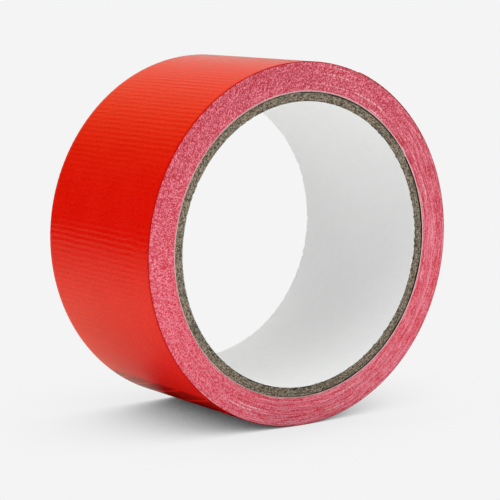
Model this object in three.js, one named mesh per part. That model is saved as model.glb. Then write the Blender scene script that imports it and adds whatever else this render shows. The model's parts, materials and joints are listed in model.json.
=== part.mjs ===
// Roll of cloth-backed adhesive tape on a spiral-wound paperboard core.
//
// Millimetres, +Z up. The roll stands on its rim: its axis runs along Y, and the origin is on the
// surface it stands on, midway along the line of contact. Angles are measured about the axis from
// +X towards +Z, in degrees. The tape is wound with its radius growing as the angle grows.
//
// Every round surface is a regular polygon with a flat under the roll, and every radius here is the
// distance from the axis to the middle of a flat, so facing surfaces of neighbours stay parallel.
import * as THREE from 'three';

// Driving dimensions
const BORE_RADIUS = 38;
const CORE_OUTER_RADIUS = 40.66;
const ROLL_RADIUS = 48.6;
const TAPE_WIDTH = 50;
const CORE_RECESS = 0.25; // how far each end of the core sits inside the tape's side
const LINER_THICKNESS = 0.16;
const PLY_NAMES = ['core_inner_ply', 'core_middle_ply', 'core_outer_ply'];
const TURNS = 36; // whole turns of tape between the core and the roll's outer surface
const WEB_LAYERS = [ // from the adhesive side out, each with its share of the tape's thickness
  { name: 'adhesive', share: 0.41 },
  { name: 'scrim', share: 0.22 },
  { name: 'film', share: 0.37 },
];
const LAYER_GAP = 0.01; // bare space left between neighbouring layers
const START_ANGLE = 36; // where the first turn begins on the core
const START_VOID = 2; // degrees left open before the first turn's edge, under the second turn
const FREE_END_ROOT = 37.5; // where the free end leaves the outermost turn
const FREE_END_ARC = 30; // degrees of tape in the free end
const FLATS = 72;

const FLAT_ANGLE = 360 / FLATS;
const WEB_THICKNESS = (ROLL_RADIUS - CORE_OUTER_RADIUS) / TURNS;
const CORE_LENGTH = TAPE_WIDTH - 2 * CORE_RECESS;

const COLOURS = {
  liner: 0xd8dada,
  chipboard: 0x7a6e60,
  adhesive: 0xdcb8ae,
  scrim: 0xe3dcd0,
  winding: 0xc85a6e,
  film: 0xd8230c,
};

// Point of the polygon whose flats lie at the given radius. A flat is centred on every multiple of
// FLAT_ANGLE, so one of them is level under the roll.
function polygonPoint(flatRadius, angle) {
  const flatCentre = Math.round(angle / FLAT_ANGLE) * FLAT_ANGLE;
  const offset = THREE.MathUtils.degToRad(angle - flatCentre);
  const radians = THREE.MathUtils.degToRad(angle);
  const reach = flatRadius / Math.cos(offset);
  return new THREE.Vector2(reach * Math.cos(radians), reach * Math.sin(radians));
}

// Points along a polygon from one angle to another: both ends and every corner between them.
function polygonRun(flatRadius, fromAngle, toAngle) {
  const points = [polygonPoint(flatRadius, fromAngle)];
  const firstCorner = Math.floor(fromAngle / FLAT_ANGLE - 0.5) + 1;
  for (let k = firstCorner; (k + 0.5) * FLAT_ANGLE < toAngle; k += 1) {
    const corner = (k + 0.5) * FLAT_ANGLE;
    if (corner > fromAngle) points.push(polygonPoint(flatRadius, corner));
  }
  points.push(polygonPoint(flatRadius, toAngle));
  return points;
}

function closedPolygon(flatRadius) {
  const points = [];
  for (let k = 0; k < FLATS; k += 1) points.push(polygonPoint(flatRadius, (k + 0.5) * FLAT_ANGLE));
  return points;
}

// Outline in the X-Z plane, extruded along Y and centred on the roll's mid-plane.
function extrudeAlongAxis(shape, length) {
  const geometry = new THREE.ExtrudeGeometry(shape, { depth: length, bevelEnabled: false });
  geometry.rotateX(Math.PI / 2);
  geometry.translate(0, length / 2, 0);
  return geometry;
}

function closedRing(innerRadius, outerRadius, length) {
  const shape = new THREE.Shape(closedPolygon(outerRadius));
  shape.holes.push(new THREE.Path(closedPolygon(innerRadius)));
  return extrudeAlongAxis(shape, length);
}

function openRing(innerRadius, outerRadius, length, fromAngle, toAngle) {
  const outer = polygonRun(outerRadius, fromAngle, toAngle);
  const inner = polygonRun(innerRadius, fromAngle, toAngle).reverse();
  return extrudeAlongAxis(new THREE.Shape([...outer, ...inner]), length);
}

function piece(name, geometry, colour, roughness) {
  const material = new THREE.MeshStandardMaterial({ color: colour, roughness, metalness: 0 });
  const mesh = new THREE.Mesh(geometry, material);
  mesh.name = name;
  return mesh;
}

// Paperboard tube: a white liner in the bore with chipboard plies glued around it.
function makeCore() {
  const core = new THREE.Group();
  const linerOuter = BORE_RADIUS + LINER_THICKNESS;
  const liner = closedRing(BORE_RADIUS, linerOuter - LAYER_GAP, CORE_LENGTH);
  core.add(piece('core_liner', liner, COLOURS.liner, 0.8));
  const plyThickness = (CORE_OUTER_RADIUS - linerOuter) / PLY_NAMES.length;
  PLY_NAMES.forEach((name, k) => {
    const inner = linerOuter + k * plyThickness;
    const ply = closedRing(inner, inner + plyThickness - LAYER_GAP, CORE_LENGTH);
    core.add(piece(name, ply, COLOURS.chipboard, 0.95));
  });
  return core;
}

// One thickness of the tape web as its three laminated layers, adhesive towards the core.
function makeWeb(prefix, innerRadius, shapeLayer) {
  const web = new THREE.Group();
  let inner = innerRadius;
  for (const layer of WEB_LAYERS) {
    const thickness = layer.share * WEB_THICKNESS;
    const geometry = shapeLayer(inner, inner + thickness - LAYER_GAP);
    const roughness = layer.name === 'film' ? 0.3 : 0.7;
    web.add(piece(`${prefix}_${layer.name}`, geometry, COLOURS[layer.name], roughness));
    inner += thickness;
  }
  return web;
}

// The first turn lies on the core and stops short of its own start, where the next turn climbs
// over the step and leaves a small void.
function makeFirstTurn() {
  const lastAngle = START_ANGLE + 360 - START_VOID;
  return makeWeb('first_turn', CORE_OUTER_RADIUS, (inner, outer) =>
    openRing(inner, outer, TAPE_WIDTH, START_ANGLE, lastAngle));
}

// The turns between the first and the outermost, wound tight enough to be one body.
function makeWinding() {
  const inner = CORE_OUTER_RADIUS + WEB_THICKNESS;
  const outer = ROLL_RADIUS - WEB_THICKNESS - LAYER_GAP;
  return piece('tape_winding', closedRing(inner, outer, TAPE_WIDTH), COLOURS.winding, 0.6);
}

function makeOuterTurn() {
  return makeWeb('outer_turn', ROLL_RADIUS - WEB_THICKNESS + LAYER_GAP, (inner, outer) =>
    closedRing(inner, outer, TAPE_WIDTH));
}

// The last stretch of tape lies on the outermost turn and peels away about its root.
function makeFreeEnd() {
  return makeWeb('free_end', ROLL_RADIUS + LAYER_GAP, (inner, outer) =>
    openRing(inner, outer, TAPE_WIDTH, FREE_END_ROOT, FREE_END_ROOT + FREE_END_ARC));
}

const roll = new THREE.Group();
roll.position.z = ROLL_RADIUS;
roll.add(makeCore(), makeFirstTurn(), makeWinding(), makeOuterTurn(), makeFreeEnd());

export default roll;
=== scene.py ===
"""Looks of a roll of red duct tape on a paperboard core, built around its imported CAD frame."""

import json
import math

import bpy
import numpy as np
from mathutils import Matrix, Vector


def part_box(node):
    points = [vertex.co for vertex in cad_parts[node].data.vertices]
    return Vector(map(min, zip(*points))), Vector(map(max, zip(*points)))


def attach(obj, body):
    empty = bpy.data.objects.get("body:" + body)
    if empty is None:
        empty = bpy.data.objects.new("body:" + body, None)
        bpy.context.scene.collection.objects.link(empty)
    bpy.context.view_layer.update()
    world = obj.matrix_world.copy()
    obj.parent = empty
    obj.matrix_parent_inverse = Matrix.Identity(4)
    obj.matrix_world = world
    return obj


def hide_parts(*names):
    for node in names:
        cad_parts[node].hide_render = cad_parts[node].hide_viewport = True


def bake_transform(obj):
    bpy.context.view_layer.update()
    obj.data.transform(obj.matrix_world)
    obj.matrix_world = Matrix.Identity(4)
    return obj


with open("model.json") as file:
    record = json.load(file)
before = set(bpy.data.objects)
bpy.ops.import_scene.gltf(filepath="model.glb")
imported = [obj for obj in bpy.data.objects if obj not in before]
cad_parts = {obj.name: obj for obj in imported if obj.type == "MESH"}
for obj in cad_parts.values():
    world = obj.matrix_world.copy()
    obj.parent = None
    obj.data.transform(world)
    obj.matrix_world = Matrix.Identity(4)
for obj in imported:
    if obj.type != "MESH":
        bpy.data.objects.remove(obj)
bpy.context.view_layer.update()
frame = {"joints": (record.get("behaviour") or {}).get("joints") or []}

MM = 0.001
TAU = 2 * math.pi

# ---------------------------------------------------------------- sizes, from the frame
def outer_radius(node):
    low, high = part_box(node)
    return (high.x - low.x) / 2


roll_low, roll_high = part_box("outer_turn_film")
core_low, core_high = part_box("core_outer_ply")
CENTRE_Z = (roll_low.z + roll_high.z) / 2
ROLL_RADIUS = outer_radius("outer_turn_film")
CORE_RADIUS = outer_radius("core_outer_ply")
HALF_WIDTH = (roll_high.y - roll_low.y) / 2
HALF_CORE = (core_high.y - core_low.y) / 2
HINGE = Vector(frame["joints"][0]["pos_m"])
ROOT_ANGLE = math.atan2(HINGE.z - CENTRE_Z, HINGE.x)
free_low, free_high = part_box("free_end_film")
END_ANGLE = math.atan2(free_high.z - CENTRE_Z, free_low.x)

# ---------------------------------------------------------------- the wound tape
TURNS = 36
WEB = (ROLL_RADIUS - CORE_RADIUS) / TURNS  # thickness of the tape
ADHESIVE_SHARE = 0.41  # of that thickness, from the inside out
SCRIM_SHARE = 0.22
START_ANGLE = ROOT_ANGLE - math.radians(1.5)  # where the first turn begins on the core
FREE_TURNS = (END_ANGLE - START_ANGLE) / TAU  # how far the free end reaches past the last whole turn
FIRST_CLIMB, CLIMB_GROWTH, LONGEST_CLIMB = 0.012, 0.004, 0.16  # shares of a turn, see turns_wound
EDGE_STRAYS = ((0.4, 0.028), (2.7, 0.03), (11, 0.03))  # periods in turns, sizes in mm, see edge_offset
EDGE_WAVES = 6  # waves near each of those periods

# ---------------------------------------------------------------- the outer film
RIBS = 202  # weft threads in one outer turn
RIB_HEIGHT = 0.042 * MM
RIB_POWER = 1.3  # above 1 the ridges are narrower than the valleys
RIB_STEPS = 9  # mesh steps from one rib to the next
FLAT_POINTS = 40  # mesh points across the film, between its rounded edges
WEFT_PITCH = TAU * ROLL_RADIUS / RIBS
WARP_PITCH = 0.9 * MM
EDGE_ROUNDING = 0.2 * MM  # the slit film is smeared over the tape's edge by this much
LAYER_GAP = 0.004 * MM  # half the gap between two layers of the tape
HIDDEN_INSET = 0.1 * MM  # how far the layers under a film stay inside its edges
SHOWING_INSET = 0.12 * MM  # of the first turn's film, whose adhesive shows, and the free end's adhesive
FLAT_SIDE = math.radians(222)  # the ribs are pressed flatter round here, over this reach either way
FLAT_REACH = math.radians(36)
FLAT_FADE = math.radians(5)
FLAT_LOSS = 0.55  # share of a rib's height that is lost there

random = np.random.default_rng(7)


def ring_noise(angles, highest, lowest, power):
    """Random curve that closes on itself round the roll, with up to highest waves in a turn. The
    higher the power, the smaller the short waves."""
    orders = np.arange(lowest, highest + 1)
    sizes = random.normal(0, 1, len(orders)) / orders ** power
    phases = random.uniform(0, TAU, len(orders))
    total = np.cos(np.outer(angles, orders) + phases) @ sizes
    return total / np.sqrt(np.sum(sizes ** 2))


def turns_wound(turns):
    """How many thicknesses of tape lie under the web after so many turns: it climbs over its own
    start once in each turn, steeply on the first one and ever more gently outside it."""
    whole = np.floor(turns + 1e-9)
    climb_share = np.minimum(LONGEST_CLIMB, FIRST_CLIMB + CLIMB_GROWTH * whole)
    rise = np.clip((turns - whole - 1 + climb_share) / climb_share, 0, 1)
    return whole + rise * rise * (3 - 2 * rise)


def web_radius(turns):
    return CORE_RADIUS + WEB * turns_wound(turns)


def web_length(turns):
    """Length of tape from the core to a place on the roll."""
    return TAU * turns * (CORE_RADIUS + WEB * turns / 2)


# The first half of each row is used. The count stays, because every later random draw follows from it.
edge_phases = random.uniform(0, TAU, (len(EDGE_STRAYS), 2 * EDGE_WAVES))


def edge_offset(turns):
    """How far the tape has strayed along the axis, on its way from the core to its end."""
    total = 0
    for (period, size), phases in zip(EDGE_STRAYS, edge_phases):
        for k in range(EDGE_WAVES):
            rate = (0.6 + 0.21 * k) / period
            total = total + size * MM * np.cos(TAU * rate * turns + phases[k]) / math.sqrt(EDGE_WAVES / 2)
    return total


def polar(radius, angle, y):
    """Points at a distance from the roll's axis, an angle round it and a place along it."""
    radius, angle, y = np.broadcast_arrays(radius, angle, y)
    return np.stack([radius * np.cos(angle), y, CENTRE_Z + radius * np.sin(angle)], -1)


# ---------------------------------------------------------------- meshes and shader nodes
def new_object(name, points, faces, corner_uvs=None, sharp=35):
    """faces is a list of integer arrays, each of one row per face; corner_uvs matches them."""
    mesh = bpy.data.meshes.new(name)
    points = np.asarray(points, np.float32).reshape(-1, 3)
    mesh.vertices.add(len(points))
    mesh.vertices.foreach_set("co", points.ravel())
    sizes = np.concatenate([np.full(len(f), f.shape[1]) for f in faces])
    corners = np.concatenate([f.ravel() for f in faces])
    mesh.loops.add(len(corners))
    mesh.loops.foreach_set("vertex_index", corners.astype(np.int32))
    mesh.polygons.add(len(sizes))
    mesh.polygons.foreach_set("loop_start", (np.cumsum(sizes) - sizes).astype(np.int32))
    mesh.update(calc_edges=True)
    if corner_uvs is not None:
        layer = mesh.uv_layers.new(name="web")
        layer.data.foreach_set("uv", np.concatenate(corner_uvs).astype(np.float32).ravel())
    mesh.shade_smooth()
    mesh.set_sharp_from_angle(angle=math.radians(sharp))
    piece = bpy.data.objects.new(name, mesh)
    bpy.context.scene.collection.objects.link(piece)
    return piece


def quads(grid):
    """Faces of a grid of vertex numbers."""
    corners = [grid[:-1, :-1], grid[1:, :-1], grid[1:, 1:], grid[:-1, 1:]]
    return np.stack(corners, -1).reshape(-1, 4)


def swept(name, sections, closed, uvs=None, sharp=35):
    """A solid whose section is a closed loop, sections[i] being the loop at step i. uvs has one
    value per section point, with one more step where closed and one more point for the seam."""
    steps, count, _ = sections.shape
    numbers = np.arange(steps * count).reshape(steps, count)
    if closed:
        numbers = np.vstack([numbers, numbers[:1]])
    numbers = np.hstack([numbers, numbers[:, :1]])
    faces = [quads(numbers)]
    corner_uvs = None
    if uvs is not None:
        corners = [uvs[:-1, :-1], uvs[1:, :-1], uvs[1:, 1:], uvs[:-1, 1:]]
        corner_uvs = [np.stack(corners, -2).reshape(-1, 2)]
    if not closed:
        faces += [numbers[:1, :-1], numbers[-1:, -2::-1]]
        if uvs is not None:
            corner_uvs += [uvs[0, :-1], uvs[-1, -2::-1]]
    return new_object(name, sections, faces, corner_uvs, sharp)


def make(tree, kind, inputs=None, **settings):
    """Adds a shader node. Inputs are values or the sockets that feed them."""
    node = tree.nodes.new(kind)
    for name, value in settings.items():
        setattr(node, name, value)
    for name, value in (inputs or {}).items():
        if isinstance(value, bpy.types.NodeSocket):
            tree.links.new(value, node.inputs[name])
        else:
            node.inputs[name].default_value = value
    return node


def math_node(tree, operation, first, second=0.0, third=0.0):
    return make(tree, "ShaderNodeMath", {0: first, 1: second, 2: third}, operation=operation).outputs[0]


def product(tree, *factors):
    result = factors[0]
    for factor in factors[1:]:
        result = math_node(tree, "MULTIPLY", result, factor)
    return result


def combined(tree, x, y, z=0.0):
    return make(tree, "ShaderNodeCombineXYZ", {0: x, 1: y, 2: z}).outputs[0]


def mix_values(tree, share, first, second):
    inputs = {"Factor": share, 2: first, 3: second}
    return make(tree, "ShaderNodeMix", inputs, data_type="FLOAT").outputs[0]


def mix_colours(tree, share, first, second):
    inputs = {"Factor": share, 6: first, 7: second}
    return make(tree, "ShaderNodeMix", inputs, data_type="RGBA").outputs[2]


def ramp(tree, value, low, high, to_low=0.0, to_high=1.0, smooth=True):
    inputs = {"Value": value, "From Min": low, "From Max": high, "To Min": to_low, "To Max": to_high}
    kind = "SMOOTHSTEP" if smooth else "LINEAR"
    return make(tree, "ShaderNodeMapRange", inputs, interpolation_type=kind).outputs[0]


def noise(tree, place, scale, detail=2.0, stretch=(1, 1, 1)):
    mapping = make(tree, "ShaderNodeMapping", {"Vector": place, "Scale": stretch})
    inputs = {"Vector": mapping.outputs[0], "Scale": scale, "Detail": detail}
    return make(tree, "ShaderNodeTexNoise", inputs).outputs[0]


def new_material(name, **constants):
    """A material with one Principled shader, and its node tree."""
    material = bpy.data.materials.new(name)
    tree = empty_tree(material)
    shader = make(tree, "ShaderNodeBsdfPrincipled", constants)
    finish_tree(tree, "ShaderNodeOutputMaterial", shader)
    return material, tree, shader


def feed(tree, shader, **sockets):
    """Links sockets to the shader's inputs, which are named with _ for a space."""
    for name, socket in sockets.items():
        tree.links.new(socket, shader.inputs[name.replace("_", " ")])


def bump(tree, height, distance):
    return make(tree, "ShaderNodeBump", {"Height": height, "Distance": distance}).outputs[0]


def empty_tree(owner):
    """The node tree of a material or world, with nothing in it."""
    owner.use_nodes = True
    owner.node_tree.nodes.clear()
    return owner.node_tree


def finish_tree(tree, kind, shader):
    output = make(tree, kind)
    tree.links.new(shader.outputs[0], output.inputs[0])


# ---------------------------------------------------------------- materials
FILM_DEEP, FILM_BRIGHT = (0.84, 0.0045, 0.001, 1), (0.93, 0.0088, 0.0016, 1)
FILM_EDGE = (0.5, 0.002, 0.003, 1)
# painted light and shade: the slit edges' dark tone is lighter low on the roll and darker high up, as the
# light falls there
SLIT_DARK_PAINTED_LIT_LOW, SLIT_DARK_PAINTED_SHADE_HIGH = (0.76, 0.026, 0.052, 1), (0.51, 0.024, 0.05, 1)
SLIT_LIGHT = (1.0, 0.31, 0.40, 1)
SLIT_PALE = (0.96, 0.76, 0.77, 1)
SLIT_FILM = (0.62, 0.03, 0.05, 1)
ADHESIVE_THREAD, ADHESIVE_PALE = (0.80, 0.50, 0.50, 1), (0.93, 0.80, 0.78, 1)
# painted shade: this dark brown on the adhesive against the core stands in for the shadowed gap there
ADHESIVE_GAP_SHADE = (0.03, 0.02, 0.015, 1)
SCRIM_TONES = (0.86, 0.40, 0.42, 1), (0.95, 0.66, 0.66, 1)
LINER_TONES = (0.88, 0.887, 0.885, 1), (0.9, 0.905, 0.898, 1)
BOARD_BROWN, BOARD_TAN = (0.085, 0.066, 0.042, 1), (0.39, 0.31, 0.22, 1)
BOARD_GREEN = (0.16, 0.165, 0.12, 1)
BOARD_DARK_SPECK, BOARD_PALE_SPECK = (0.03, 0.022, 0.015, 1), (0.5, 0.42, 0.32, 1)
# painted shade for the gap between the core and the tape
BOARD_GAP_SHADE = (0.03, 0.025, 0.02, 1)


def web_place(tree):
    """Where a point is on the tape: millimetres along it, and millimetres across it or turns wound."""
    web = make(tree, "ShaderNodeUVMap", uv_map="web").outputs[0]
    split = make(tree, "ShaderNodeSeparateXYZ", {0: web})
    return web, split.outputs[0], split.outputs[1]


def round_roll(tree):
    """Where a point is on the roll: its place, distance from the axis, angle, and place along the axis."""
    place = make(tree, "ShaderNodeTexCoord").outputs["Object"]
    split = make(tree, "ShaderNodeSeparateXYZ", {0: place})
    height = math_node(tree, "SUBTRACT", split.outputs[2], CENTRE_Z)
    squares = [math_node(tree, "POWER", side, 2) for side in (height, split.outputs[0])]
    radius = math_node(tree, "SQRT", math_node(tree, "ADD", *squares))
    angle = math_node(tree, "ARCTAN2", height, split.outputs[0])
    return place, radius, angle, split.outputs[1]


def ring_place(tree, angle, reach, level):
    """A place for noise that closes on itself round the roll: on a circle, at a level of its own."""
    across = product(tree, math_node(tree, "COSINE", angle), reach)
    up = product(tree, math_node(tree, "SINE", angle), reach)
    return combined(tree, across, up, level)


def thread_wave(tree, place, pitch, waver=0.0):
    """A wave with one crest for each thread, over millimetres."""
    phase = math_node(tree, "MULTIPLY_ADD", place, TAU * MM / pitch, waver)
    return math_node(tree, "COSINE", phase)


def film_material():
    """Glossy red polyethylene, darker at its slit edges, with a faint print of the threads under it."""
    material, tree, shader = new_material("red_film", **{"IOR": 1.5, "Specular IOR Level": 0.12})
    web, along, across = web_place(tree)
    blotches = noise(tree, web, 0.12, 3)
    grain = noise(tree, web, 2.2, 3)
    waver = noise(tree, web, 0.8, 2, (0.4, 1.3, 1))
    streaks = noise(tree, web, 2.0, 3, (1, 0.4, 1))
    patchy = noise(tree, web, 0.9, 2, (0.4, 1, 1))
    weft = thread_wave(tree, along, WEFT_PITCH, product(tree, waver, 9.0))
    warp = thread_wave(tree, across, WARP_PITCH)
    tone = math_node(tree, "MULTIPLY_ADD", streaks, 0.8, product(tree, blotches, 0.2))
    colour = mix_colours(tree, ramp(tree, tone, 0.38, 0.62), FILM_DEEP, FILM_BRIGHT)
    from_edge = math_node(tree, "SUBTRACT", HALF_WIDTH / MM, math_node(tree, "ABSOLUTE", across))
    colour = mix_colours(tree, ramp(tree, from_edge, 0.1, 0.38), FILM_EDGE, colour)
    ripple = product(tree, weft, ramp(tree, patchy, 0.3, 0.65))
    height = math_node(tree, "MULTIPLY_ADD", ripple, 0.42, product(tree, grain, 1.3))
    height = math_node(tree, "MULTIPLY_ADD", warp, 0.12, height)
    feed(tree, shader, Base_Color=colour, Normal=bump(tree, height, 0.04 * MM))
    feed(tree, shader, Roughness=ramp(tree, blotches, 0.3, 0.7, 0.08, 0.12))
    return material


def slit_fibres(tree, along, turns, angle, right):
    """Cut thread ends: short slanting slashes on the upper left, longer streaks on the lower right."""
    lean = math_node(tree, "MULTIPLY_ADD", math_node(tree, "SINE", angle), 0.004, 0.001)
    slanted = math_node(tree, "MULTIPLY_ADD", turns, lean, angle)
    slash_place = ring_place(tree, slanted, 46, product(tree, turns, 0.08))
    slashes = ramp(tree, noise(tree, slash_place, 3.8, 1), 0.38, 0.66)
    streak_place = combined(tree, product(tree, along, 0.22), product(tree, turns, 0.62))
    streaks = ramp(tree, noise(tree, streak_place, 1.0, 2), 0.4, 0.62)
    return mix_values(tree, product(tree, right, 0.9), slashes, streaks)


def slit_tone(tree, fibres, bands, specks, lines, sine, right):
    """How pale the slit edges are, from about 0 to 1, before single turns are picked out. Painted shade
    makes them darker towards the top of the roll.
    """
    off_mean = math_node(tree, "SUBTRACT", bands, 0.5)
    banding = product(tree, off_mean, ramp(tree, right, 0, 1, 0.2, 0.9))
    tone = math_node(tree, "MULTIPLY_ADD", fibres, ramp(tree, right, 0, 1, 0.42, 0.55), banding)
    # painted shade: the tone is lowered towards the top of the roll
    tone = math_node(tree, "ADD", tone, ramp(tree, sine, -0.9, 0.9, 0.0, -0.1))
    grain = math_node(tree, "SUBTRACT", specks, 0.5)
    tone = math_node(tree, "MULTIPLY_ADD", grain, ramp(tree, right, 0, 1, 2.1, 1.5), tone)
    return math_node(tree, "MULTIPLY_ADD", lines, 0.3, tone)


def pale_turns(tree, turns, bands, specks, lines, cosine, sine):
    """Turns that stand out pale: some arcs on the right and at the bottom, and the one on the core."""
    arcs_show = math_node(tree, "MAXIMUM", ramp(tree, cosine, -0.1, 0.4), ramp(tree, sine, -0.5, -0.85))
    arcs_show = product(tree, arcs_show, ramp(tree, specks, 0.36, 0.5, 0, 0.75))
    arcs = product(tree, ramp(tree, lines, 0.64, 0.67), arcs_show)
    near_core = product(tree, ramp(tree, turns, 1.6, 1.1), ramp(tree, bands, 0.35, 0.6, 0.3, 0.9))
    return math_node(tree, "MAXIMUM", arcs, near_core)


def wound_edge_material():
    """The slit edges of the turns: red film, pale thread ends and pink adhesive, with paler and
    darker turns where the tape stands out or lies back, and painted shade that makes them darker
    towards the top of the roll and lighter towards the bottom."""
    material, tree, shader = new_material("tape_edges", **{"IOR": 1.45, "Specular IOR Level": 0.3})
    along, turns = web_place(tree)[1:]
    place, _, angle, _ = round_roll(tree)
    cosine, sine = math_node(tree, "COSINE", angle), math_node(tree, "SINE", angle)
    right = ramp(tree, math_node(tree, "MULTIPLY_ADD", sine, -0.75, cosine), -0.35, 0.6)
    turn = math_node(tree, "FLOOR", turns)
    bands = noise(tree, ring_place(tree, angle, 1.3, product(tree, turn, 0.3)), 1.0, 1)
    lines = noise(tree, combined(tree, product(tree, along, 0.03), turn), 1.0, 1)
    specks = noise(tree, place, 2900, 1)
    fibres = slit_fibres(tree, along, turns, angle, right)
    tone = slit_tone(tree, fibres, bands, specks, lines, sine, right)
    # painted shade: the dark tone runs from lighter at the bottom of the roll to darker at the top
    dark = mix_colours(tree, ramp(tree, sine, -0.8, 0.8), SLIT_DARK_PAINTED_LIT_LOW, SLIT_DARK_PAINTED_SHADE_HIGH)
    base = mix_colours(tree, ramp(tree, tone, -0.1, 0.82), dark, SLIT_LIGHT)
    pale = pale_turns(tree, turns, bands, specks, lines, cosine, sine)
    lined = mix_colours(tree, pale, base, SLIT_PALE)
    film = math_node(tree, "GREATER_THAN", math_node(tree, "FRACT", turns), 0.66)
    layered = mix_colours(tree, product(tree, film, 0.3), lined, SLIT_FILM)
    relief = math_node(tree, "MULTIPLY_ADD", fibres, 0.5, specks)
    feed(tree, shader, Base_Color=layered, Roughness=ramp(tree, specks, 0.3, 0.7, 0.45, 0.7))
    feed(tree, shader, Normal=bump(tree, relief, 0.06 * MM))
    return material


def plain_fibre_material(name, dark, light, scale, depth, roughness):
    """Paper and thread: two tones of one colour with a fine raised grain."""
    material, tree, shader = new_material(name, Roughness=roughness)
    place = make(tree, "ShaderNodeTexCoord").outputs["Object"]
    tone = noise(tree, place, scale, 4)
    feed(tree, shader, Base_Color=mix_colours(tree, ramp(tree, tone, 0.35, 0.65), dark, light))
    feed(tree, shader, Normal=bump(tree, tone, depth))
    return material


def adhesive_material():
    """Pale adhesive with the threads showing through, and painted shade in dark brown where it lies
    against the paperboard, for the gap beside the core.
    """
    material, tree, shader = new_material("adhesive", Roughness=0.45)
    place, radius, _, _ = round_roll(tree)
    along, across = web_place(tree)[1:]
    weave = math_node(
        tree, "MAXIMUM", thread_wave(tree, along, WEFT_PITCH), thread_wave(tree, across, WARP_PITCH))
    threads = ramp(tree, weave, 0.5, 0.95)
    tone = math_node(tree, "MULTIPLY_ADD", threads, -0.14, noise(tree, place, 1200, 4))
    pale = mix_colours(tree, ramp(tree, tone, 0.25, 0.6), ADHESIVE_THREAD, ADHESIVE_PALE)
    off_core = math_node(tree, "SUBTRACT", radius, CORE_RADIUS)
    # painted shade: dark brown in the gap between the tape and the core
    colour = mix_colours(tree, ramp(tree, off_core, 0.006 * MM, 0.02 * MM), ADHESIVE_GAP_SHADE, pale)
    feed(tree, shader, Base_Color=colour, Normal=bump(tree, tone, 0.04 * MM))
    return material


def chipboard_material():
    """Grey-brown recycled board: long fibres round the ring, dark and pale specks, and painted shade in
    the gap where its outer rim lies deep beside the tape."""
    material, tree, shader = new_material("chipboard", Roughness=0.92)
    place, radius, angle, along_axis = round_roll(tree)
    fibres = noise(tree, ring_place(tree, angle, 38, product(tree, radius, 2800)), 1.1, 3)
    specks = noise(tree, place, 2700, 4)
    patches = noise(tree, place, 260, 3)
    colour = mix_colours(tree, ramp(tree, fibres, 0.36, 0.64), BOARD_BROWN, BOARD_TAN)
    colour = mix_colours(tree, ramp(tree, patches, 0.4, 0.65, 0, 0.4), colour, BOARD_GREEN)
    colour = mix_colours(tree, ramp(tree, specks, 0.38, 0.47, 0.9, 0), colour, BOARD_DARK_SPECK)
    colour = mix_colours(tree, ramp(tree, specks, 0.55, 0.66, 0, 0.7), colour, BOARD_PALE_SPECK)
    # painted shade: dark near the outer rim, more than 0.2 mm in from the end, where the gap beside the
    # tape is
    depth = math_node(tree, "SUBTRACT", HALF_CORE, math_node(tree, "ABSOLUTE", along_axis))
    outside = ramp(tree, radius, CORE_RADIUS - 0.9 * MM, CORE_RADIUS - 0.4 * MM)
    shade = product(tree, ramp(tree, depth, 0.2 * MM, 0.6 * MM), outside)
    colour = mix_colours(tree, shade, colour, BOARD_GAP_SHADE)
    relief = math_node(tree, "MULTIPLY_ADD", specks, 0.6, fibres)
    feed(tree, shader, Base_Color=colour, Normal=bump(tree, relief, 0.16 * MM))
    return material


FILM = film_material()
WOUND_EDGES = wound_edge_material()
CHIPBOARD = chipboard_material()
LINER = plain_fibre_material("liner_paper", *LINER_TONES, 400, 0.004 * MM, 0.7)
ADHESIVE = adhesive_material()
SCRIM = plain_fibre_material("scrim_thread", *SCRIM_TONES, 4200, 0.03 * MM, 0.85)


def finish_piece(piece, material, body, node):
    """Gives a piece its material and slot, and puts it in a CAD node's place. A piece that is to be
    blended between two bodies has no body of its own."""
    piece.data.materials.append(material)
    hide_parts(node)
    if body:
        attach(piece, body)


# ---------------------------------------------------------------- tape pieces
phase_waves = random.normal(0, 1, (10, 2)), random.uniform(0, TAU, 10)
height_waves = random.normal(0, 1, (10, 2)), random.uniform(0, TAU, 10)


def cross_waves(across, angle, waves, period_across, period_angle):
    """Smooth random field over the film, about 1 in size."""
    total = 0
    for (a, b), phase in zip(*waves):
        total = total + np.cos(TAU * (a * across / period_across + b * angle / period_angle) + phase)
    return total / math.sqrt(len(waves[1]))


def wander_cross(across, angle):
    """How far a weft thread strays from straight."""
    return cross_waves(across, angle, phase_waves, 9 * MM, 0.3)


def wander_height(across, angle):
    """How much higher or lower a rib stands in one place than in another."""
    return cross_waves(across, angle, height_waves, 4 * MM, 0.05)


def film_profile():
    """The outer side of the film's section: where each point lies across the tape, and how far it
    drops at the rounded edges, as negative heights."""
    flat = np.linspace(-1, 1, FLAT_POINTS) * (HALF_WIDTH - EDGE_ROUNDING)
    bend = np.radians([90, 75, 50, 25])
    across = -HALF_WIDTH + EDGE_ROUNDING * (1 - np.sin(bend))
    drop = EDGE_ROUNDING * (np.cos(bend) - 1)
    across = np.concatenate([across, flat, -across[::-1]])
    return across, np.concatenate([drop, np.zeros(FLAT_POINTS), drop[::-1]])


def rib_relief(across, angle):
    """Height of the film over the threads, from 0 on a full ridge down to minus the rib height."""
    phase = RIBS * angle + 0.9 * wander_cross(across, angle)
    ridge = (0.5 + 0.5 * np.cos(phase)) ** RIB_POWER
    from_flat_side = np.abs(np.mod(angle, TAU) - FLAT_SIDE) - FLAT_REACH
    pressed = 0.5 - 0.5 * np.tanh(from_flat_side / FLAT_FADE)
    size = (0.72 + 0.28 * np.tanh(1.5 * wander_height(across, angle))) * (1 - FLAT_LOSS * pressed)
    return RIB_HEIGHT * (ridge * size - 1)


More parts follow.
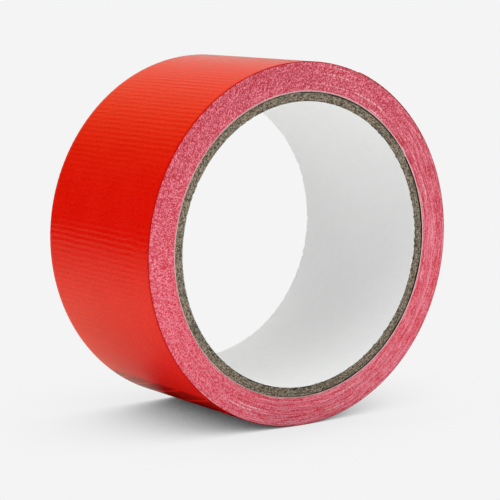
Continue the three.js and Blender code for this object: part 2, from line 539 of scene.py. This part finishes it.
def film_strip(name, first, last, steps):
    """A stretch of the outer film with a rib over each weft thread and its edges smeared down."""
    turns = np.linspace(first, last, steps)[:, None]
    angle = START_ANGLE + TAU * turns
    across, drop = film_profile()
    share = np.clip(1 + drop / EDGE_ROUNDING, 0, 1)
    outer = web_radius(turns) + WEB + rib_relief(across[None], angle) * share + drop
    under = np.linspace(1, -1, 4) * (HALF_WIDTH - EDGE_ROUNDING * 0.45)
    inner = web_radius(turns) + WEB * (ADHESIVE_SHARE + SCRIM_SHARE) + 0 * under[None]
    inner[:, [0, -1]] -= EDGE_ROUNDING * 0.5
    loop = np.append(across, under)
    sections = polar(np.hstack([outer, inner]), angle, loop[None] + edge_offset(turns))
    uv_across = np.append(loop, loop[0])
    uvs = np.stack(np.broadcast_arrays(angle * ROLL_RADIUS / MM, uv_across[None] / MM), -1)
    return swept(name, sections, False, uvs)


def make_outer_film():
    piece = film_strip("outer_film", TURNS - 1, TURNS, RIBS * RIB_STEPS + 1)
    finish_piece(piece, FILM, "roll", "outer_turn_film")


def plain_strip(name, first, last, steps, low_share, high_share, inset):
    """A stretch of one inner layer of the tape, between two shares of its thickness."""
    turns = np.linspace(first, last, steps)[:, None]
    y = np.linspace(-1, 1, 9) * (HALF_WIDTH - inset)
    low = web_radius(turns) + WEB * low_share + LAYER_GAP
    high = web_radius(turns) + WEB * high_share - LAYER_GAP
    radius = np.hstack([high + 0 * y[None], low + 0 * y[None]])
    loop = np.append(y, y[::-1])
    sections = polar(radius, START_ANGLE + TAU * turns, loop[None] + edge_offset(turns))
    uv_across = np.append(loop, loop[0])
    uvs = np.stack(np.broadcast_arrays(web_length(turns) / MM, uv_across[None] / MM), -1)
    return swept(name, sections, False, uvs)


OUTER_STEPS = 721
FIRST_STEPS = 1081  # finer, because the first turn climbs over its start in a short way
INNER_LAYERS = {
    "adhesive": (ADHESIVE, 0, ADHESIVE_SHARE),
    "scrim": (SCRIM, ADHESIVE_SHARE, ADHESIVE_SHARE + SCRIM_SHARE),
}


def make_inner_layers():
    for layer, (material, low, high) in INNER_LAYERS.items():
        piece = plain_strip(f"outer_{layer}", TURNS - 1, TURNS, OUTER_STEPS, low, high, HIDDEN_INSET)
        finish_piece(piece, material, "roll", f"outer_turn_{layer}")
        piece = plain_strip(f"first_{layer}", 0, 1, FIRST_STEPS, low, high, 0)
        finish_piece(piece, material, "roll", f"first_turn_{layer}")
    low = ADHESIVE_SHARE + SCRIM_SHARE
    piece = plain_strip("first_film", 0, 1, FIRST_STEPS, low, 1, SHOWING_INSET)
    finish_piece(piece, FILM, "roll", "first_turn_film")


WINDING_STEPS = 720  # mesh steps in one turn
VALLEY_DEPTH, RIDGE_DEPTH = 0.06 * MM, 0.025 * MM  # inside the tape's width
RIDGE_SHARE = 0.62  # where the ridge stands in the tape's thickness
WINDING_ROUGHNESS = 0.012 * MM


def winding_uvs(rows, last):
    """Where the corners of the spiral's faces are on the tape: length along it, and turns wound."""
    row = np.arange(last)
    lengths = web_length(1 + row[:, None] // rows + np.arange(WINDING_STEPS + 1) / WINDING_STEPS) / MM
    layer = (1 + row // rows + (row % rows) / rows)[:, None]
    row_share = 1 / rows - 0.001  # just short of the next row's layer
    loops = []
    for step, up in ((0, 0), (1, 0), (1, row_share), (0, row_share)):
        length = lengths[:, step:step + WINDING_STEPS]
        loops.append(np.stack([length, layer + up + 0 * length], -1))
    front = np.stack(loops, -2).reshape(-1, 2)
    back = np.stack([loops[0], *loops[:0:-1]], -2).reshape(-1, 2)
    return front, back


def winding_sides(rows, row, step):
    """Points of the front and the back spiral, one after the other."""
    turns = 1 + row // rows + step / WINDING_STEPS
    radius = web_radius(turns) + WEB * RIDGE_SHARE * (row % rows)
    angle = START_ANGLE + TAU * turns
    depth = np.where(row % rows == 1, RIDGE_DEPTH, VALLEY_DEPTH)
    points = []
    for side in (-1, 1):
        rough = random.normal(0, WINDING_ROUGHNESS, len(row))
        points.append(polar(radius, angle, side * (HALF_WIDTH - depth - rough) + edge_offset(turns)))
    return np.vstack(points)


def make_winding():
    """All the turns between the first and the last. Each side is one long spiral face with a valley
    and a ridge per turn; walls close it inside and out, and step faces close its two ends."""
    rows, steps = 2, WINDING_STEPS
    last = (TURNS - 2) * rows
    index = np.arange((last + 1) * steps).reshape(last + 1, steps)
    ends = index.size + np.arange(rows)
    first_column = np.concatenate([index[:, 0], ends])
    front = np.hstack([index, first_column[rows:rows + last + 1, None]])
    row = np.concatenate([np.repeat(np.arange(last + 1), steps), last + 1 + np.arange(rows)])
    step = np.concatenate([np.tile(np.arange(steps), last + 1), np.zeros(rows)])
    back = front + len(row)
    inner = np.stack([front[0, 1:], front[0, :-1], back[0, :-1], back[0, 1:]], -1)
    outer = np.stack([front[-1, :-1], front[-1, 1:], back[-1, 1:], back[-1, :-1]], -1)
    start_front, start_back = front[:rows + 1, 0], back[:rows + 1, 0]
    start = np.stack([start_front[:-1], start_front[1:], start_back[1:], start_back[:-1]], -1)
    end_front = np.append(front[-1, 0], ends)
    end_back = end_front + len(row)
    end = np.stack([end_front[1:], end_front[:-1], end_back[:-1], end_back[1:]], -1)
    walls = [inner, outer, start, end]
    front_faces = quads(front)[:, [0, 3, 2, 1]]  # turned round, to face outwards
    faces = [front_faces, quads(back), *walls]
    uvs = [*winding_uvs(rows, last), *(np.zeros((wall.size, 2)) for wall in walls)]
    piece = new_object("wound_turns", winding_sides(rows, row, step), faces, uvs, sharp=80)
    finish_piece(piece, WOUND_EDGES, "roll", "tape_winding")


# ---------------------------------------------------------------- paperboard core
CORE_STEPS = 1260
CORE_ANGLES = TAU * np.arange(CORE_STEPS) / CORE_STEPS
END_POINTS = 7  # mesh points across a ring's end
LINER_THICKNESS = 0.15 * MM
LINER_TEAR = 0.32 * MM
PLY_GAP = 0.012 * MM
PLY_FRAYS = {  # wear of the inner and the outer rim
    "inner_ply": (0.45 * MM, 0.03 * MM),
    "middle_ply": (0.03 * MM, 0.03 * MM),
    "outer_ply": (0.03 * MM, 0.26 * MM),
}
WORN_SIDE = math.radians(70)  # where the outer rim of the core is worn most
PLY_RADII = [outer_radius(f"core_{name}") for name in ("liner", *PLY_FRAYS)]


def core_end(inner, outer, roughness, tear, inner_fray, outer_fray):
    """One end of a ring of the core: distance from the axis and from the middle of the width, for
    each angle. The end is rough and torn back here and there, and its two rims are worn."""
    shares = np.linspace(0, 1, END_POINTS)
    wear_in = inner_fray * np.abs(ring_noise(CORE_ANGLES, 150, 2, 0.2))[:, None]
    uneven = 0.45 + 0.4 * np.cos(CORE_ANGLES - WORN_SIDE) + 0.35 * ring_noise(CORE_ANGLES, 90, 2, 0.5)
    wear_out = outer_fray * np.maximum(uneven, 0)[:, None]
    torn = tear * np.maximum(0, ring_noise(CORE_ANGLES, 160, 8, 0.1) - 0.2)[:, None]
    inner_rim = inner + 0.7 * wear_in
    outer_rim = outer - wear_out
    face = inner_rim + (outer_rim - inner_rim) * shares
    dip = torn + wear_in * np.maximum(0, 1 - shares * 4) + 0.4 * wear_out * np.maximum(0, shares * 4 - 3)
    rough = roughness * np.abs(random.normal(0, 1, face.shape))
    foot_in = np.full_like(wear_in, HALF_CORE - 1.6 * MM)
    foot_out = HALF_CORE - 0.3 * MM - 2.5 * wear_out
    radius = np.hstack([np.full_like(wear_in, inner), face, np.full_like(wear_in, outer)])
    return radius, np.hstack([foot_in, HALF_CORE - dip - rough, foot_out])


def core_ring(name, *shape):
    front_radius, front_y = core_end(*shape)
    back_radius, back_y = core_end(*shape)
    radius = np.hstack([front_radius, back_radius[:, ::-1]])
    y = np.hstack([-front_y, back_y[:, ::-1]])
    return swept(name, polar(radius, CORE_ANGLES[:, None], y), True, sharp=60)


def make_core():
    bore = PLY_RADII[0] - LINER_THICKNESS
    liner = core_ring("liner", bore, PLY_RADII[0], 0.01 * MM, LINER_TEAR, 0.06 * MM, 0.02 * MM)
    finish_piece(liner, LINER, "roll", "core_liner")
    for k, (name, frays) in enumerate(PLY_FRAYS.items()):
        rims = PLY_RADII[k] + PLY_GAP, PLY_RADII[k + 1]
        ply = core_ring(f"chipboard_{name}", *rims, 0.035 * MM, 0, *frays)
        finish_piece(ply, CHIPBOARD, "roll", f"core_{name}")


def make_free_end():
    """The free end in three layers, left without a body of their own and baked in place."""
    span = TURNS, TURNS + FREE_TURNS, round(FREE_TURNS * RIBS * RIB_STEPS) + 1
    scrim_shares = ADHESIVE_SHARE, ADHESIVE_SHARE + SCRIM_SHARE
    layers = {
        "film": (film_strip("free_film", *span), FILM),
        "adhesive": (plain_strip("free_adhesive", *span, 0, ADHESIVE_SHARE, SHOWING_INSET), ADHESIVE),
        "scrim": (plain_strip("free_scrim", *span, *scrim_shares, HIDDEN_INSET), SCRIM),
    }
    for layer, (piece, material) in layers.items():
        finish_piece(piece, material, None, f"free_end_{layer}")
        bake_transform(piece)


make_outer_film()
make_inner_layers()
make_winding()
make_core()
make_free_end()

# ---------------------------------------------------------------- floor, light and camera
STUDIO_TONE = 0.905  # of the floor in full light, and of the backdrop above the horizon
FLOOR_REACH = 80.0  # metres each way, so that it meets the horizon


def floor_bounce(tree, split, open_sky):
    """Light that the floor throws back at the roll: most on the left and in front, little under it."""
    sideways, backwards = split.outputs[0], split.outputs[1]
    near_left = ramp(tree, sideways, -0.11, 0.02, 1.62, 1.02)
    far_left = ramp(tree, sideways, -0.32, -0.1, 0.45, 1)
    in_front = ramp(tree, backwards, -0.03, -0.14, 1, 1.25)
    contact = ramp(tree, backwards, -0.025, -0.05, 2.2, 0.9)
    return product(tree, math_node(tree, "POWER", open_sky, contact), near_left, far_left, in_front)


def floor_mirrored(tree, place, open_sky):
    """What the gloss of the roll mirrors of the floor, by how far back to the left that lies."""
    inputs = {0: place, 1: (-0.58, 0.81, 0)}
    away = make(tree, "ShaderNodeVectorMath", inputs, operation="DOT_PRODUCT").outputs["Value"]
    far = ramp(tree, away, 0.5, 0.66, 1, 0)
    middle = ramp(tree, away, 0.04, 0.3, 1.22, 0.6)
    near = ramp(tree, away, -0.1, -0.02, 0.25, 1)
    return product(tree, far, middle, near, math_node(tree, "POWER", open_sky, 2.7))


def floor_material():
    """Its brightness is written as an emission, so that it is as even as studio paper. Only the roll's
    own soft shadow darkens it, under a light that comes from above and a little from the right."""
    material = bpy.data.materials.new("floor")
    tree = empty_tree(material)
    inputs = {"Distance": 0.12, "Normal": combined(tree, 0.08, -0.04, 0.95)}
    open_sky = make(tree, "ShaderNodeAmbientOcclusion", inputs, samples=16).outputs["AO"]
    shadow = math_node(tree, "POWER", math_node(tree, "SUBTRACT", 1.0, open_sky), 2.9)
    as_seen = math_node(tree, "SUBTRACT", 1.0, shadow)
    place = make(tree, "ShaderNodeNewGeometry").outputs["Position"]
    bounce = floor_bounce(tree, make(tree, "ShaderNodeSeparateXYZ", {0: place}), open_sky)
    ray = make(tree, "ShaderNodeLightPath")
    glossy, seen = ray.outputs["Is Glossy Ray"], ray.outputs["Is Camera Ray"]
    as_lit = mix_values(tree, glossy, bounce, floor_mirrored(tree, place, open_sky))
    strength = mix_values(tree, seen, as_lit, as_seen)
    warm = mix_colours(tree, ramp(tree, open_sky, 0.3, 0.9), (0.9, 0.88, 0.88, 1), (0.905, 0.88, 0.62, 1))
    tint = mix_colours(tree, glossy, (STUDIO_TONE, STUDIO_TONE, STUDIO_TONE, 1), warm)
    emission = make(tree, "ShaderNodeEmission", {"Color": tint, "Strength": strength})
    finish_tree(tree, "ShaderNodeOutputMaterial", emission)
    return material


def make_floor():
    """One triangle, which no view sees the end of."""
    mesh = bpy.data.meshes.new("floor")
    corners = [(-FLOOR_REACH, -FLOOR_REACH, 0), (FLOOR_REACH, -FLOOR_REACH, 0), (0, FLOOR_REACH, 0)]
    mesh.from_pydata(corners, [], [(0, 1, 2)])
    floor = bpy.data.objects.new("floor", mesh)
    bpy.context.scene.collection.objects.link(floor)
    mesh.materials.append(floor_material())


def world_light(tree, direction, sideways, backwards):
    """Soft light from all round, least from below and the left. It has a ceiling, and is dimmer far on
    the right, so that the side of the roll that faces there isn't burnt out."""
    inputs = {0: direction, 1: (0.95, -0.25, 0.45)}
    towards_light = make(tree, "ShaderNodeVectorMath", inputs, operation="DOT_PRODUCT").outputs["Value"]
    light = math_node(tree, "MULTIPLY_ADD", towards_light, 0.56, 0.58)
    light = math_node(tree, "MULTIPLY_ADD", ramp(tree, backwards, 0.3, 0.9), 0.5, light)
    light = math_node(tree, "MINIMUM", light, 0.92)
    return product(tree, light, ramp(tree, sideways, 0.35, 0.9, 1, 0.5))


def world_mirrored(tree, sideways):
    """What gloss mirrors of the room: dark on the left, bright in the middle, dim far on the right."""
    left = ramp(tree, sideways, -0.5, 0.12, 0.0, 0.66)
    middle = ramp(tree, sideways, 0.15, 0.5, 1, 0.88)
    right = ramp(tree, sideways, 0.525, 0.72, 1, 0.1)
    return product(tree, left, middle, right)


def make_world():
    """What lights the roll, what its gloss mirrors, and what a view shows above the horizon, which is
    the floor's pale tone, are set apart from each other."""
    world = bpy.data.worlds.new("studio")
    bpy.context.scene.world = world
    tree = empty_tree(world)
    direction = make(tree, "ShaderNodeTexCoord").outputs["Generated"]
    split = make(tree, "ShaderNodeSeparateXYZ", {0: direction})
    sideways, backwards = split.outputs[0], split.outputs[1]
    ray = make(tree, "ShaderNodeLightPath")
    glossy, seen = ray.outputs["Is Glossy Ray"], ray.outputs["Is Camera Ray"]
    light = world_light(tree, direction, sideways, backwards)
    strength = mix_values(tree, glossy, light, world_mirrored(tree, sideways))
    strength = mix_values(tree, seen, strength, STUDIO_TONE)
    warmth = ramp(tree, sideways, -0.25, 0.55, smooth=False)
    warm = mix_colours(tree, warmth, (1, 1, 0.15, 1), (1, 1, 0.86, 1))
    tint = mix_colours(tree, glossy, (1, 1, 1, 1), warm)
    background = make(tree, "ShaderNodeBackground", {"Color": tint, "Strength": strength})
    finish_tree(tree, "ShaderNodeOutputWorld", background)


def make_softbox():
    """A softbox overhead, which no gloss mirrors."""
    light = bpy.data.lights.new("softbox", "AREA")
    light.shape = "RECTANGLE"
    light.size, light.size_y = 0.9, 0.7
    light.energy = 3.9
    box = bpy.data.objects.new("softbox", light)
    box.visible_glossy = False
    box.location = (-0.05, -0.09, 0.95)
    towards_roll = Vector((0, 0, CENTRE_Z)) - Vector(box.location)
    box.rotation_euler = towards_roll.to_track_quat("-Z", "Y").to_euler()
    bpy.context.scene.collection.objects.link(box)


def make_camera():
    """The photograph's view, as fitted to the outlines of the roll."""
    azimuth, elevation = math.radians(-35.05), math.radians(8.18)
    distance, drop, shift_right = 541.3 * MM, 4.08 * MM, 0.07 * MM
    level = math.cos(elevation)
    back = Vector((math.sin(azimuth) * level, -math.cos(azimuth) * level, math.sin(elevation)))
    right = Vector((-back.y, back.x, 0)).normalized()
    up = back.cross(right)
    data = bpy.data.cameras.new("camera")
    data.lens = 141.84
    data.sensor_width = 36
    data.clip_start, data.clip_end = 0.05, 200
    camera = bpy.data.objects.new("camera", data)
    camera.location = Vector((0, 0, CENTRE_Z)) + back * distance - up * drop + right * shift_right
    camera.rotation_euler = back.to_track_quat("Z", "Y").to_euler()
    bpy.context.scene.collection.objects.link(camera)
    bpy.context.scene.camera = camera


make_floor()
make_world()
make_softbox()
make_camera()
bpy.context.scene.view_settings.view_transform = "Standard"
